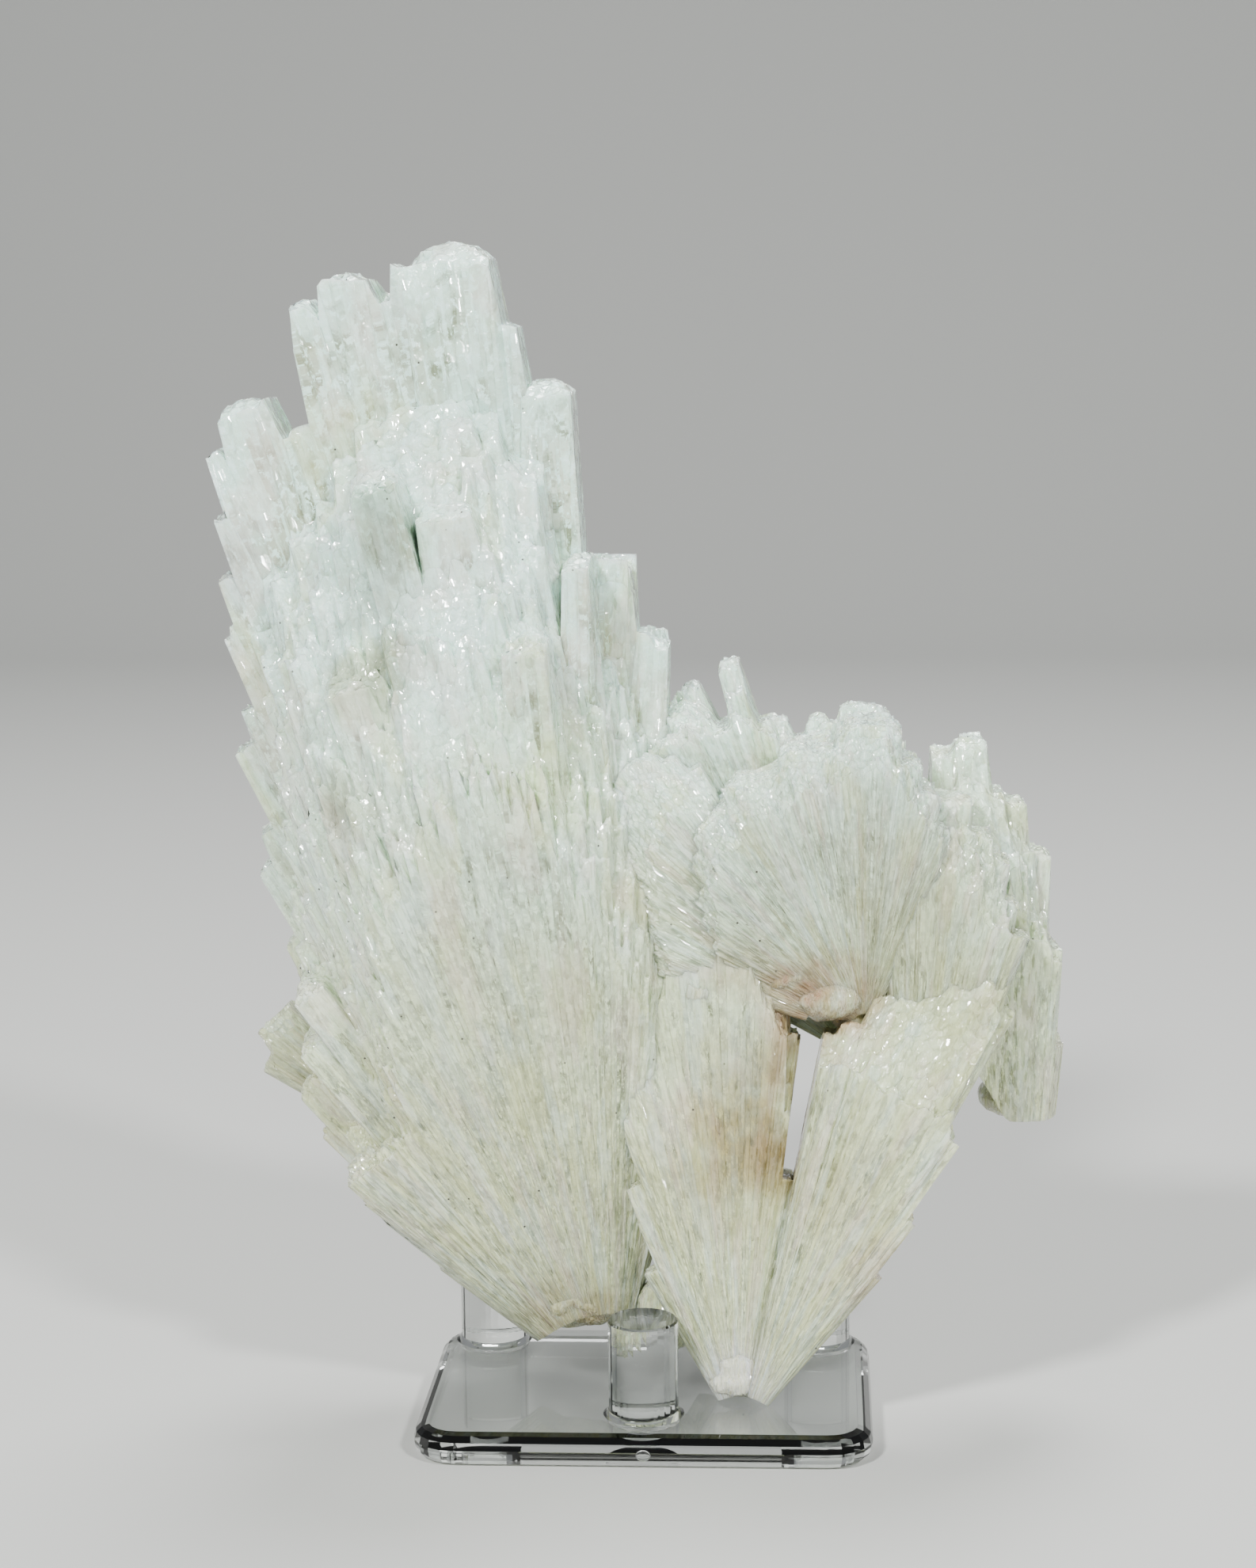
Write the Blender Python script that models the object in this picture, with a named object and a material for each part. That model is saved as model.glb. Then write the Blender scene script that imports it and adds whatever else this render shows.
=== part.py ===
"""A scolecite cluster resting in a clear stand with three pegs.

Metres, +Z up, +Y away from the viewer. The origin is the centre of the stand's underside.
The cluster is one solid: sprays of square crystals that grew into one another.
"""

import math
import random

import bmesh
import bpy
from mathutils import Matrix, Vector

MM = 0.001
GAP = 0.3 * MM
SHARP_ANGLE = 30.0
LEVEL_NORMAL = 0.9
MINERAL = {"color": (0.82, 0.84, 0.78), "roughness": 0.35, "ior": 1.51, "transmission": 0.0}
ACRYLIC = {"color": (0.97, 0.98, 0.98), "roughness": 0.03, "ior": 1.49, "transmission": 1.0}

# The stand: a flat plate and three round pegs set into it
PLATE_WIDTH = 61.6 * MM
PLATE_DEPTH = 44.2 * MM
PLATE_THICKNESS = 4.4 * MM
PLATE_CORNER_RADIUS = 6.0 * MM
PLATE_CORNER_SEGMENTS = 5
PLATE_EDGE_RADIUS = 2.0 * MM
PLATE_EDGE_SEGMENTS = 3
PEG_DIAMETER = 9.5 * MM
PEG_RISE = 13.2 * MM
PEG_SOCKET_DEPTH = 2.4 * MM
PEG_END_BEVEL = 0.25 * MM
PEG_SEGMENTS = 28
FRONT_PEG_Y = -12.5 * MM
BACK_PEG_X = 23.3 * MM
BACK_PEG_Y = 17.1 * MM
PEG_PLACES = {
    "peg_front": (0.0, FRONT_PEG_Y),
    "peg_back_left": (-BACK_PEG_X, BACK_PEG_Y),
    "peg_back_right": (BACK_PEG_X, BACK_PEG_Y),
}

# The cluster, in millimetres and degrees. A spray's crystals lie on lines that meet at its root,
# and they begin at its start, measured from there. Its rim lists the crystals of the outline:
# degrees to the left of upright, reach from the root to the tip, width. Its rows are shorter
# crystals before and behind the rim: degrees towards the back, share of the rim's reach, width.
# Its core is the grown-together body, from a front to a back tilt.
SPRAYS = {
    "main": {
        "root": (-5.0, 2.0, 1.0), "start": 14.0, "tilt": 0.0, "core": (-15.0, 17.0),
        "rim": (
            (19.1, 145, 7.5), (16.4, 141, 5.0), (14.3, 155, 4.6), (11.9, 158, 8.2),
            (8.9, 158, 6.6), (6.6, 158, 6.0), (4.9, 152, 4.0), (3.0, 139, 7.0),
            (21.9, 133, 3.0), (23.0, 126, 5.4), (24.4, 118, 6.4), (27.2, 103, 6.6),
            (29.2, 91, 7.2), (31.4, 80, 6.4), (34.0, 68, 6.6), (38.5, 62, 6.6),
            (42.0, 60, 5.6), (0.6, 116, 6.0), (-2.5, 92, 6.4), (-6.5, 78, 6.0), (-10.5, 63, 5.4),
            (-14.5, 48, 5.4),
        ),
        "rows": ((-6.0, 0.88, 8.4), (-12.0, 0.70, 8.0), (8.0, 0.86, 9.4), (14.5, 0.66, 9.4)),
    },
    "upper": {
        "root": (28.7, 2.0, 50.0), "start": 3.0, "tilt": 4.0, "core": (-12.0, 18.0),
        "rim": (
            (37.0, 69, 5.6), (33.0, 65, 5.0), (29.0, 71, 5.0), (25.5, 74, 6.0), (22.0, 64, 5.4),
            (19.5, 56, 4.6), (16.5, 57, 4.2), (12.5, 48, 5.4), (8.0, 46, 5.0), (2.5, 48, 6.0),
            (-3.5, 46, 5.6), (-9.0, 43, 5.2), (-15.0, 37, 5.4), (-22.0, 35, 5.4),
        ),
        "rows": ((-7.0, 0.88, 6.6), (9.0, 0.84, 7.6), (16.0, 0.68, 7.4)),
    },
    "upper front": {
        "root": (28.7, -1.0, 50.0), "start": 3.0, "tilt": -13.0, "core": (-13.0, 10.0),
        "rim": (
            (52.0, 29, 5.0), (45.0, 36, 5.6), (38.0, 39, 5.6), (31.0, 40, 6.0), (23.0, 41, 5.6),
            (15.0, 41, 5.6), (7.0, 42, 5.6), (-1.0, 41, 5.6), (-9.0, 39, 5.6), (-17.0, 35, 5.4),
        ),
        "rows": ((-8.0, 0.84, 6.0),),
    },
    "right": {
        "root": (1.0, -10.0, -23.7), "start": 34.5, "tilt": 3.0, "core": (-7.5, 11.0),
        "rim": (
            (-19.5, 86, 5.4), (-22.0, 90, 6.0), (-24.6, 93, 6.4), (-27.2, 99, 6.4),
            (-29.8, 103, 5.8),
        ),
        "rows": ((-4.5, 0.92, 7.0), (8.0, 0.95, 7.4)),
    },
    "middle": {
        "root": (9.5, -8.0, -8.0), "start": 15.0, "tilt": 4.0, "core": (-5.0, 10.0),
        "rim": (
            (9.0, 46, 4.6), (5.0, 60, 5.4), (1.0, 74, 5.6), (-2.6, 75, 5.4), (-6.0, 70, 5.0),
            (-8.8, 63, 4.0),
        ),
        "rows": (),
    },
    "outer": {
        "root": (48.5, 9.0, 8.0), "start": 34.5, "tilt": 0.0, "core": (-6.5, 7.5),
        "rim": (
            (6.2, 80, 5.6), (3.0, 86, 6.4), (0.0, 84, 5.8), (-2.8, 77, 5.6), (-5.0, 70, 5.0),
            (-6.8, 58, 4.4),
        ),
        "rows": ((-4.5, 0.88, 6.4), (4.5, 0.86, 6.8)),
    },
    "back": {
        "root": (9.6, 0.9, 2.0), "start": 8.0, "tilt": 27.0, "core": (-9.0, 8.0),
        "rim": (
            (-28.0, 25, 4.2), (-20.0, 28, 4.6), (-11.0, 33, 5.0), (-2.0, 45, 5.4), (5.0, 55, 5.8),
            (11.0, 62, 6.0), (17.0, 66, 6.2), (23.0, 60, 6.0),
        ),
        "rows": (),
    },
    "side": {
        "root": (-26.0, 7.0, 30.0), "start": 4.0, "tilt": 6.0, "core": (-4.0, 4.0),
        "rim": ((58.0, 33, 3.6), (52.0, 36, 4.4), (46.0, 36, 3.8)),
        "rows": (),
    },
}
CORE_SHARE = 0.92
CORE_DOME = 0.42
CORE_GRID = (7, 4)
CORE_MIN = 1.0
CRYSTAL_SEED = 11
CRYSTAL_DEPTH = 1.25
REACH_JITTER = 0.07
LEAN_JITTER = 0.8
TURN_JITTER = 12.0
TIP_HEIGHT = 0.28
TIP_INSET = 0.22
BURIED_SHARE = 0.5
ROW_MARGIN = 2.0
ROW_SPACING = 0.98

# Blunt lower ends of the cluster: centre and half sizes
ENDS = (
    ((-11.5, 3.0, 19.0), (8.5, 7.0, 7.5)),
    ((-16.0, 9.7, 19.5), (6.0, 5.4, 6.0)),
    ((12.5, -5.5, 10.8), (5.5, 4.5, 6.0)),
    ((3.0, -1.0, 14.5), (5.0, 4.5, 6.5)),
    ((28.0, 1.0, 54.5), (7.0, 7.5, 6.0)),
    ((49.0, 9.0, 44.0), (5.0, 5.0, 3.4)),
)


def clear_scene():
    for obj in list(bpy.data.objects):
        bpy.data.objects.remove(obj, do_unlink=True)


def make_material(name, color, roughness, ior, transmission):
    material = bpy.data.materials.new(name)
    material.use_nodes = True
    shader = material.node_tree.nodes["Principled BSDF"]
    shader.inputs["Base Color"].default_value = (*color, 1.0)
    shader.inputs["Roughness"].default_value = roughness
    shader.inputs["Metallic"].default_value = 0.0
    shader.inputs["IOR"].default_value = ior
    shader.inputs["Transmission Weight"].default_value = transmission
    return material


def add_object(name, bm, material):
    mesh = bpy.data.meshes.new(name)
    bm.to_mesh(mesh)
    bm.free()
    mesh.materials.append(material)
    mesh.shade_smooth()
    mesh.set_sharp_from_angle(angle=math.radians(SHARP_ANGLE))
    obj = bpy.data.objects.new(name, mesh)
    bpy.context.scene.collection.objects.link(obj)
    return obj


def add_boolean(obj, cutter, operation, use_self=False):
    modifier = obj.modifiers.new(operation.lower(), "BOOLEAN")
    modifier.operation = operation
    modifier.object = cutter
    modifier.use_self = use_self
    cutter.hide_render = True
    cutter.display_type = "WIRE"


def ray_matrix(root, lean, tilt):
    """Turns +Z at the origin, in millimetres, to a spray's ray, in metres."""
    return (
        Matrix.Scale(MM, 4)
        @ Matrix.Translation(root)
        @ Matrix.Rotation(math.radians(-lean), 4, "Y")
        @ Matrix.Rotation(math.radians(-tilt), 4, "X")
    )


def reach_at(rim, lean):
    """The reach that a rim's crystals give at a lean between them."""
    profile = sorted((rim_lean, reach) for rim_lean, reach, width in rim)
    for (lean_a, reach_a), (lean_b, reach_b) in zip(profile, profile[1:]):
        if lean <= lean_b:
            share = max(0.0, lean - lean_a) / (lean_b - lean_a)
            return reach_a + share * (reach_b - reach_a)
    return profile[-1][1]


def add_core(bm, spray):
    """The body of a spray: a block bent so that its sides run along the spray's rays."""
    leans = [lean for lean, reach, width in spray["rim"]]
    front, back = spray["core"]
    columns, layers = CORE_GRID
    grid = bmesh.ops.create_grid(bm, x_segments=columns, y_segments=layers, size=1.0)["verts"]
    sheet = list({face for vert in grid for face in vert.link_faces})
    made = bmesh.ops.extrude_face_region(bm, geom=sheet, use_keep_orig=True)["geom"]
    outer = [item for item in made if isinstance(item, bmesh.types.BMVert)]
    for vert in [*grid, *outer]:
        lean = min(leans) + (vert.co.x + 1.0) / 2.0 * (max(leans) - min(leans))
        tilt = front + (vert.co.y + 1.0) / 2.0 * (back - front)
        dome = 1.0 - CORE_DOME * vert.co.y ** 2
        reach = CORE_SHARE * dome * reach_at(spray["rim"], lean)
        radius = spray["start"] if vert in grid else max(reach, spray["start"] + CORE_MIN)
        vert.co = ray_matrix(spray["root"], lean, spray["tilt"] + tilt) @ Vector((0, 0, radius))
    bm.normal_update()
    bmesh.ops.recalc_face_normals(bm, faces=list({f for v in grid + outer for f in v.link_faces}))


def add_crystal(bm, rng, spray, lean, tilt, reach, width):
    """A square crystal that widens towards a low, blunt tip. Its lower part is in the core."""
    start = max(spray["start"], BURIED_SHARE * reach)
    root_width = width * start / reach
    length = reach - start
    verts = bmesh.ops.create_cone(
        bm, cap_ends=True, segments=4, radius1=root_width / math.sqrt(2.0),
        radius2=width / math.sqrt(2.0), depth=length,
        matrix=Matrix.Translation((0.0, 0.0, start + length / 2.0)),
    )["verts"]
    faces = {face for vert in verts for face in vert.link_faces}
    top = max(faces, key=lambda face: face.calc_center_median().z)
    lift = width * TIP_HEIGHT * rng.uniform(0.5, 1.0)
    bmesh.ops.inset_individual(bm, faces=[top], thickness=width * TIP_INSET, depth=lift)
    turn = rng.uniform(-TURN_JITTER, TURN_JITTER)
    place = (
        ray_matrix(spray["root"], lean, spray["tilt"] + tilt)
        @ Matrix.Rotation(math.radians(turn), 4, "Z")
        @ Matrix.Diagonal((1.0, CRYSTAL_DEPTH, 1.0, 1.0))
        @ Matrix.Rotation(math.radians(45.0), 4, "Z")
    )
    bmesh.ops.transform(bm, matrix=place, verts=list({*verts, *top.verts}))


def add_spray(bm, rng, spray):
    """The core, the rim as listed, and rows of shorter crystals in front of and behind it."""
    add_core(bm, spray)
    for lean, reach, width in spray["rim"]:
        add_crystal(bm, rng, spray, lean, 0.0, reach, width)
    leans = [lean for lean, reach, width in spray["rim"]]
    for row_tilt, share, width in spray["rows"]:
        lean = min(leans) + ROW_MARGIN
        while lean < max(leans) - ROW_MARGIN:
            jitter = rng.uniform(1.0 - REACH_JITTER, 1.0 + REACH_JITTER)
            reach = share * jitter * reach_at(spray["rim"], lean)
            row_lean = lean + rng.uniform(-LEAN_JITTER, LEAN_JITTER)
            add_crystal(bm, rng, spray, row_lean, row_tilt, reach, width)
            lean += math.degrees(ROW_SPACING * width / reach)


def add_cluster(material):
    rng = random.Random(CRYSTAL_SEED)
    crystals = bmesh.new()
    for spray in SPRAYS.values():
        add_spray(crystals, rng, spray)
    crystals = add_object("crystals", crystals, material)
    ends = bmesh.new()
    for center, half_sizes in ENDS:
        place = Matrix.Scale(MM, 4) @ Matrix.Translation(center) @ Matrix.Diagonal((*half_sizes, 1.0))
        bmesh.ops.create_icosphere(ends, subdivisions=2, radius=1.0, matrix=place)
    cluster = add_object("scolecite", ends, material)
    add_boolean(cluster, crystals, "UNION", use_self=True)
    close_voids(cluster)
    bpy.data.objects.remove(crystals, do_unlink=True)


def close_voids(obj):
    """Applies the union and fills the small spaces that crystals closed off inside the cluster."""
    evaluated = obj.evaluated_get(bpy.context.evaluated_depsgraph_get())
    bm = bmesh.new()
    bm.from_mesh(evaluated.to_mesh())
    outermost = max(bm.verts, key=lambda vert: vert.co.z)
    shell = {outermost}
    waiting = [outermost]
    while waiting:
        vert = waiting.pop()
        near = {edge.other_vert(vert) for edge in vert.link_edges} - shell
        shell |= near
        waiting += near
    bmesh.ops.delete(bm, geom=[vert for vert in bm.verts if vert not in shell], context="VERTS")
    obj.modifiers.clear()
    bm.to_mesh(obj.data)
    bm.free()
    obj.data.set_sharp_from_angle(angle=math.radians(SHARP_ANGLE))


def flat_rims(bm):
    """The edges around the level faces at the top and the bottom of a shape."""
    level = [f for f in bm.faces if abs(f.normal.z) > LEVEL_NORMAL]
    return list({e for f in level for e in f.edges})


def add_plate(material):
    """The plate: a rounded rectangle with round upper and lower edges, and three sockets."""
    bm = bmesh.new()
    size = (PLATE_WIDTH, PLATE_DEPTH, PLATE_THICKNESS)
    place = Matrix.Translation((0.0, 0.0, PLATE_THICKNESS / 2.0)) @ Matrix.Diagonal((*size, 1.0))
    bmesh.ops.create_cube(bm, size=1.0, matrix=place)
    upright = [e for e in bm.edges if abs(e.verts[0].co.z - e.verts[1].co.z) > PLATE_THICKNESS / 2.0]
    bmesh.ops.bevel(
        bm, geom=upright, offset=PLATE_CORNER_RADIUS, segments=PLATE_CORNER_SEGMENTS,
        profile=0.5, affect="EDGES",
    )
    bmesh.ops.bevel(
        bm, geom=flat_rims(bm), offset=PLATE_EDGE_RADIUS, segments=PLATE_EDGE_SEGMENTS,
        profile=0.5, affect="EDGES",
    )
    plate = add_object("stand_base", bm, material)
    sockets = bmesh.new()
    bottom = PLATE_THICKNESS - PEG_SOCKET_DEPTH - GAP
    height = PEG_SOCKET_DEPTH + GAP + PLATE_THICKNESS
    for x, y in PEG_PLACES.values():
        bmesh.ops.create_cone(
            sockets, cap_ends=True, segments=PEG_SEGMENTS, radius1=PEG_DIAMETER / 2.0 + GAP,
            radius2=PEG_DIAMETER / 2.0 + GAP, depth=height,
            matrix=Matrix.Translation((x, y, bottom + height / 2.0)),
        )
    add_boolean(plate, add_object("sockets", sockets, material), "DIFFERENCE")


def add_peg(name, x, y, material):
    """A round rod that stands in its socket and rises above the plate."""
    bm = bmesh.new()
    bottom = PLATE_THICKNESS - PEG_SOCKET_DEPTH
    height = PEG_SOCKET_DEPTH + PEG_RISE
    bmesh.ops.create_cone(
        bm, cap_ends=True, segments=PEG_SEGMENTS, radius1=PEG_DIAMETER / 2.0,
        radius2=PEG_DIAMETER / 2.0, depth=height,
        matrix=Matrix.Translation((x, y, bottom + height / 2.0)),
    )
    bmesh.ops.bevel(
        bm, geom=flat_rims(bm), offset=PEG_END_BEVEL, segments=1, profile=0.5, affect="EDGES",
    )
    add_object(name, bm, material)


def main():
    clear_scene()
    mineral = make_material("white scolecite", **MINERAL)
    acrylic = make_material("clear acrylic", **ACRYLIC)
    add_cluster(mineral)
    add_plate(acrylic)
    for name, (x, y) in PEG_PLACES.items():
        add_peg(name, x, y, acrylic)


main()
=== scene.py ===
# A scolecite cluster in a clear stand with three pegs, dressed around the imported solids.
import math
import random

import bmesh
import bpy
from mathutils import Matrix, Vector, noise


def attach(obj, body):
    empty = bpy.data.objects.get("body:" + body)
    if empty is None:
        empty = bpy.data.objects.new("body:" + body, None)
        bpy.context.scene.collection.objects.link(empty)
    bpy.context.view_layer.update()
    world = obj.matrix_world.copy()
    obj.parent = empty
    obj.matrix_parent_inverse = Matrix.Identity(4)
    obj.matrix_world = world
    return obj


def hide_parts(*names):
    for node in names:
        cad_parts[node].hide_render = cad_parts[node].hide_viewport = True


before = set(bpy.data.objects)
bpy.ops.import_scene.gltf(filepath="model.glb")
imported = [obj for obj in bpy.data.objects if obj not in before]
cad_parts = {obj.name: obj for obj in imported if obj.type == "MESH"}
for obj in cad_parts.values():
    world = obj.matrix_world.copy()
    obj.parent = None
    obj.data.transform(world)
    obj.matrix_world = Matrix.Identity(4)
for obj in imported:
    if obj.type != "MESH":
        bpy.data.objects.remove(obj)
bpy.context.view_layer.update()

mm = 0.001

# A spray is a fan of crystals on rays that meet at its root. Millimetres and degrees, as in the
# solids: a rim crystal is degrees to the left of upright, reach from the root, width. A single one
# has its tilt after the first of these. Needles begin at "start", and further out by the second
# "lift" for each degree past the first.
# Layers of crystals stand before and behind the rim. Front and back give the tilt of the face, the
# share of the rim's reach kept there, how late the layers fall back to it, the tilt that the rim's
# own crystals fill, and the share at which the layers begin. No layer falls back further than
# "even". Layers and widths go from the rim's to those at the face; pitch is from needle to needle.
mainSpray = {
    "root": (-5.0, 2.0, 1.0), "start": 14.0, "tilt": 0.0, "seed": 3, "pitch": 0.33, "even": 50.0,
    "front": (15.8, 0.57, 1.2, 2.4, 0.88), "back": (17.0, 0.6, 1.3, 2.2, 0.94),
    "layer": (0.9, 0.5), "width": (4.6, 1.6), "notch": (0.6, 2.6),
    "rim": (
        (21.2, 142.5, 2.4), (19.1, 147.5, 7.4), (16.6, 141.5, 4.6), (14.5, 157.5, 4.2),
        (12.4, 159.6, 6.8), (10.3, 155.6, 1.8), (7.2, 161.0, 13.4), (4.5, 150.0, 2.2), (2.9, 142.0, 7.4),
        (-0.4, 118.0, 7.0), (-3.6, 109.0, 4.8), (-5.6, 97.0, 3.0), (-7.4, 86.0, 3.0),
        (-9.4, 74.0, 3.4), (-11.8, 67.0, 3.6), (-13.8, 52.0, 2.6),
        (22.2, 134.5, 2.8), (23.4, 127.0, 3.0), (24.6, 120.5, 3.6), (26.0, 110.0, 3.4),
        (27.6, 105.5, 4.4), (29.4, 94.0, 3.6), (30.9, 90.0, 4.0), (32.8, 79.5, 4.0),
        (34.4, 70.0, 4.2), (37.4, 60.0, 4.4), (41.8, 62.5, 6.2), (44.8, 56.0, 3.2),
        (46.6, 46.0, 2.6), (48.6, 31.0, 2.4),
    ),
    "single": (
        (4.7, -11.6, 112.5, 6.2), (8.7, -7.0, 129.5, 8.4), (12.3, -7.8, 134.5, 6.8),
        (17.2, -9.6, 112.0, 7.0), (1.2, -6.2, 119.5, 4.2), (20.6, -9.4, 100.0, 6.0),
        (33.0, -8.5, 76.0, 5.4), (36.5, -8.0, 68.0, 5.0), (-11.8, -10.4, 66.0, 3.6),
    ),
}
upperSpray = {
    "root": (28.7, 2.0, 50.0), "start": 5.0, "tilt": 4.0, "seed": 5, "pitch": 0.62, "even": 34.0,
    "front": (14.0, 0.92, 1.2, 3.0, 0.98), "back": (18.0, 0.55, 1.3, 4.0, 0.94),
    "layer": (1.6, 0.9), "width": (3.0, 1.2),
    "rim": (
        (58.0, 33.0, 4.2), (53.0, 39.0, 4.4), (48.0, 44.0, 4.6), (43.0, 48.0, 4.6),
        (38.0, 52.0, 4.6), (33.4, 54.0, 4.4), (29.0, 55.0, 4.4), (23.6, 56.5, 3.2),
        (20.8, 50.0, 2.0), (17.6, 58.0, 3.7), (13.2, 48.6, 4.0), (9.6, 45.2, 2.0),
        (6.2, 47.8, 2.6), (3.4, 46.6, 2.0), (0.4, 49.2, 3.6), (-3.8, 49.0, 4.0),
        (-7.4, 44.5, 2.6), (-12.4, 40.0, 4.4), (-18.0, 36.0, 4.4), (-24.0, 33.0, 4.4),
    ),
    "single": (),
}
upperFrontSpray = {
    "root": (30.0, -6.0, 56.0), "start": 2.4, "tilt": -7.0, "seed": 7, "pitch": 0.72, "even": 18.0,
    "front": (10.0, 0.86, 1.1, 5.0, 0.995), "back": (9.0, 0.9, 1.2, 3.0, 1.0),
    "layer": (0.6, 0.5), "width": (2.2, 1.2),
    "notch": (0.0, 0.5),
    "rim": (
        (60.0, 22.0, 3.0), (56.5, 24.5, 3.4), (52.0, 27.5, 3.6), (47.0, 30.5, 4.0),
        (42.0, 34.4, 4.0), (37.0, 37.0, 4.2), (31.5, 37.6, 4.4), (26.0, 39.8, 4.4),
        (20.0, 38.6, 4.4), (14.0, 41.4, 4.4), (8.0, 40.2, 4.6), (2.5, 43.4, 4.6),
        (-3.5, 43.4, 4.6), (-9.0, 38.5, 4.0), (-14.0, 35.0, 4.0), (-19.0, 31.0, 3.6),
        (-24.0, 25.0, 3.2),
    ),
    "single": (),
}
rightSpray = {
    "root": (12.7, -9.2, -0.5), "start": 6.3, "tilt": 2.0, "seed": 11, "pitch": 0.5, "even": 54.0,
    "front": (8.0, 0.66, 1.2, 0.8, 0.98), "back": (11.0, 0.85, 1.2, 4.0, 1.0),
    "layer": (1.0, 0.6), "width": (3.4, 1.8), "notch": (0.0, 1.0),
    "rim": (
        (-12.6, 57.5, 2.2), (-15.0, 60.0, 3.0), (-18.0, 65.0, 3.6), (-21.4, 70.0, 4.4),
        (-24.8, 73.0, 4.6), (-28.4, 78.5, 4.8), (-31.6, 70.0, 2.4), (-33.6, 52.0, 2.2),
        (-36.0, 39.5, 2.4), (-38.4, 30.0, 2.0),
    ),
    "single": (),
}
middleSpray = {
    "root": (12.7, -8.4, -0.5), "start": 5.8, "tilt": 5.0, "seed": 13, "pitch": 0.5, "even": 46.0,
    "front": (7.0, 0.9, 1.2, 1.0, 1.0), "back": (11.0, 0.85, 1.2, 4.0, 1.0),
    "layer": (1.0, 0.6), "width": (3.2, 1.6), "notch": (0.0, 1.0),
    "rim": (
        (27.0, 26.0, 2.6), (22.0, 38.0, 3.0), (17.4, 55.0, 3.6), (13.0, 66.0, 4.0),
        (9.0, 68.0, 4.4), (5.0, 74.0, 4.6), (1.0, 75.0, 4.6), (-2.8, 70.0, 4.2),
        (-6.0, 60.0, 2.6), (-8.0, 56.5, 2.0), (-11.0, 37.0, 2.6), (-13.6, 35.0, 2.2),
    ),
    "single": (),
}
outerSpray = {
    "root": (50.5, 6.5, -10.0), "start": 52.0, "tilt": 0.5, "seed": 17, "pitch": 0.38, "even": 78.0,
    "lift": (1.5, 2.0),
    "front": (7.5, 0.86, 1.0, 2.4, 0.98), "back": (7.2, 0.86, 1.0, 2.7, 0.98),
    "layer": (1.6, 0.8), "width": (3.4, 1.4),
    "rim": (
        (8.5, 88.5, 3.6), (6.0, 103.3, 2.6), (3.5, 104.5, 5.4), (1.5, 96.6, 2.2),
        (0.0, 95.6, 2.8), (-2.1, 88.6, 3.0), (-3.8, 76.0, 2.2), (-5.4, 62.0, 2.0),
    ),
    "single": (),
}
linkSpray = {
    "root": (29.5, -6.6, 55.0), "start": 8.0, "tilt": -3.0, "seed": 29, "pitch": 0.6, "even": 26.0,
    "front": (7.0, 0.8, 1.0, 1.0, 0.97), "back": (8.0, 0.95, 1.0, 3.0, 1.0),
    "layer": (0.7, 0.5), "width": (1.9, 1.0), "notch": (0.0, 0.3),
    "rim": (
        (31.0, 43.0, 2.6), (34.0, 46.0, 2.8), (37.0, 48.5, 2.8), (40.0, 49.0, 2.8),
        (43.0, 48.5, 2.8), (46.0, 47.0, 2.8), (49.0, 45.0, 2.8), (52.0, 43.0, 2.6),
        (55.0, 41.0, 2.6), (58.0, 39.0, 2.4), (61.0, 37.0, 2.4), (64.0, 35.0, 2.2),
        (67.0, 33.0, 2.2), (70.0, 31.0, 2.2),
    ),
    "single": (),
}
coverSpray = {
    "root": (36.0, -4.0, 28.0), "start": 24.0, "tilt": -1.0, "seed": 31, "pitch": 0.52, "even": 44.0,
    "front": (8.0, 0.84, 1.1, 4.0, 0.97), "back": (8.0, 0.9, 1.0, 4.0, 1.0),
    "layer": (1.0, 0.6), "width": (2.6, 1.3), "notch": (0.2, 1.4),
    "rim": (
        (4.0, 60.0, 3.6), (0.5, 61.5, 3.6), (-3.0, 60.0, 3.6), (-6.4, 60.5, 3.4),
        (-9.6, 56.0, 3.2), (-12.8, 53.5, 3.2), (-16.0, 48.0, 3.2), (-19.5, 44.0, 3.0),
    ),
    "single": (),
}
backSpray = {
    "root": (9.6, 0.9, 2.0), "start": 8.0, "tilt": 27.0, "seed": 19, "pitch": 0.8, "even": 24.0,
    "front": (9.0, 0.8, 1.2, 3.0, 0.95), "back": (8.0, 0.7, 1.2, 3.0, 0.95),
    "layer": (2.0, 1.2), "width": (4.0, 2.0),
    "rim": (
        (-28.0, 25.0, 4.2), (-20.0, 28.0, 4.6), (-11.0, 33.0, 5.0), (-2.0, 45.0, 5.4),
        (5.0, 55.0, 5.8), (11.0, 62.0, 6.0), (17.0, 66.0, 6.2), (23.0, 60.0, 6.0),
    ),
    "single": (),
}
sideSpray = {
    "root": (-26.0, 7.0, 30.0), "start": 4.0, "tilt": 6.0, "seed": 23, "pitch": 1.0, "even": 24.0,
    "front": (5.0, 0.9, 1.0, 2.0, 1.0), "back": (5.0, 0.85, 1.0, 2.0, 1.0),
    "layer": (1.2, 0.9), "width": (2.2, 1.1),
    "rim": ((58.0, 33.0, 3.6), (52.0, 36.5, 4.4), (46.0, 36.0, 3.8)),
    "single": (),
}
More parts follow.
